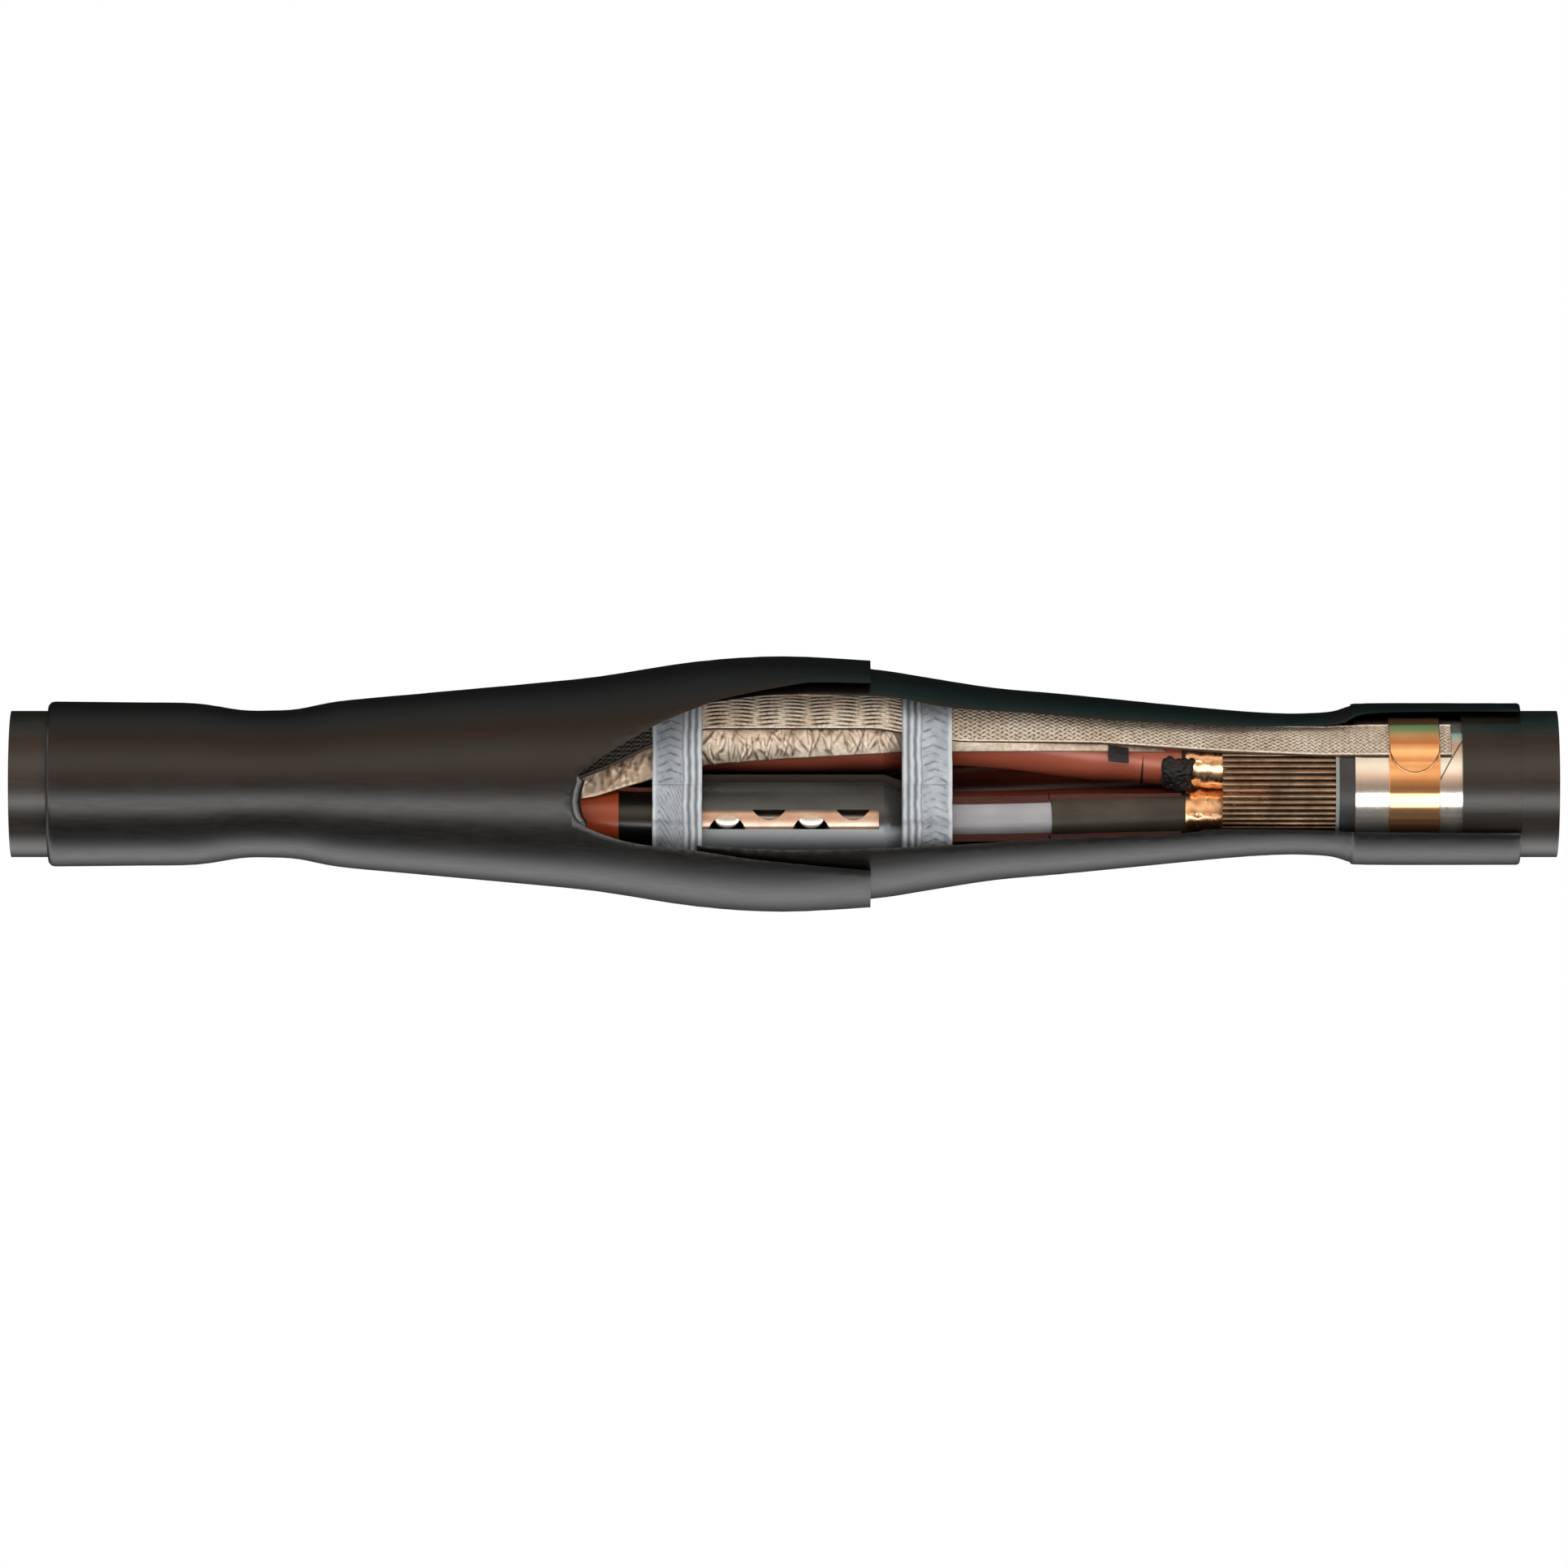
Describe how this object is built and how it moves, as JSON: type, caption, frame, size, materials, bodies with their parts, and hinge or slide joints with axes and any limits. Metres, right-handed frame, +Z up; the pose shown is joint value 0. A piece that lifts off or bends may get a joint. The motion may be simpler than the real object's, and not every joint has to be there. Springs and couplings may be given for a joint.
{
  "type": "heat shrink cable joint",
  "caption": "Cut-away joint between two power cables, with windows in the shrunk outer jackets that show the cores, mesh, braid and armour.",
  "frame": {"origin": "centre of the left cable's cut end", "axes": "+X along the cable towards the right end, -Y out of the windows in the jackets, +Z up"},
  "size_m": [0.76, 0.1146, 0.1258],
  "materials": {
    "conductor": "bare stranded metal",
    "insulation": "smooth pale grey",
    "core_screen": "satin dark olive",
    "copper_tape": "bright copper, crinkled",
    "connector": "machined, warm grey",
    "shear_bolt": "sheared bright faces",
    "stress_tube": "satin dark grey",
    "insulating_tube": "semi-gloss brick red",
    "core_filler": "fibrous filler",
    "screen_wire": "dull copper",
    "bedding": "black",
    "armour_tape": "bright steel tape",
    "cable_sheath": "satin black",
    "roll_spring": "polished copper colour",
    "binding_tape": "woven, light grey",
    "sealing_mastic": "soft black",
    "outer_jacket": "satin black",
    "copper_mesh": "knitted tinned mesh",
    "earth_braid": "flat tinned braid"
  },
  "bodies": {
    "root": {"conductor_left_upper": "conductor", "insulation_left_upper": "insulation", "core_screen_left_upper": "core_screen", "copper_tape_left_upper": "copper_tape", "conductor_left_lower": "conductor", "insulation_left_lower": "insulation", "core_screen_left_lower": "core_screen", "copper_tape_left_lower": "copper_tape", "conductor_left_rear": "conductor", "insulation_left_rear": "insulation", "core_screen_left_rear": "core_screen", "copper_tape_left_rear": "copper_tape", "conductor_right_upper": "conductor", "insulation_right_upper": "insulation", "core_screen_right_upper": "core_screen", "copper_tape_right_upper": "copper_tape", "conductor_right_lower": "conductor", "insulation_right_lower": "insulation", "core_screen_right_lower": "core_screen", "copper_tape_right_lower": "copper_tape", "conductor_right_rear": "conductor", "insulation_right_rear": "insulation", "core_screen_right_rear": "core_screen", "copper_tape_right_rear": "copper_tape", "connector_upper": "connector", "stress_tube_upper": "stress_tube", "insulating_tube_upper": "insulating_tube", "connector_lower": "connector", "stress_tube_lower": "stress_tube", "insulating_tube_lower": "insulating_tube", "connector_rear": "connector", "stress_tube_rear": "stress_tube", "insulating_tube_rear": "insulating_tube", "shear_bolts": "shear_bolt", "core_filler_left": "core_filler", "screen_wires_left": "screen_wire", "bedding_left": "bedding", "armour_tape_left": "armour_tape", "cable_sheath_left": "cable_sheath", "roll_spring_left": "roll_spring", "binding_tape_left": "binding_tape", "sealing_mastic_left": "sealing_mastic", "outer_jacket_left": "outer_jacket", "core_filler_right": "core_filler", "screen_wires_right": "screen_wire", "bedding_right": "bedding", "armour_tape_right": "armour_tape", "cable_sheath_right": "cable_sheath", "roll_spring_right": "roll_spring", "binding_tape_right": "binding_tape", "sealing_mastic_right": "sealing_mastic", "outer_jacket_right": "outer_jacket", "copper_mesh": "copper_mesh", "earth_braid": "earth_braid", "mastic_patch": "sealing_mastic", "mastic_bead": "sealing_mastic"}
  },
  "joints": []
}
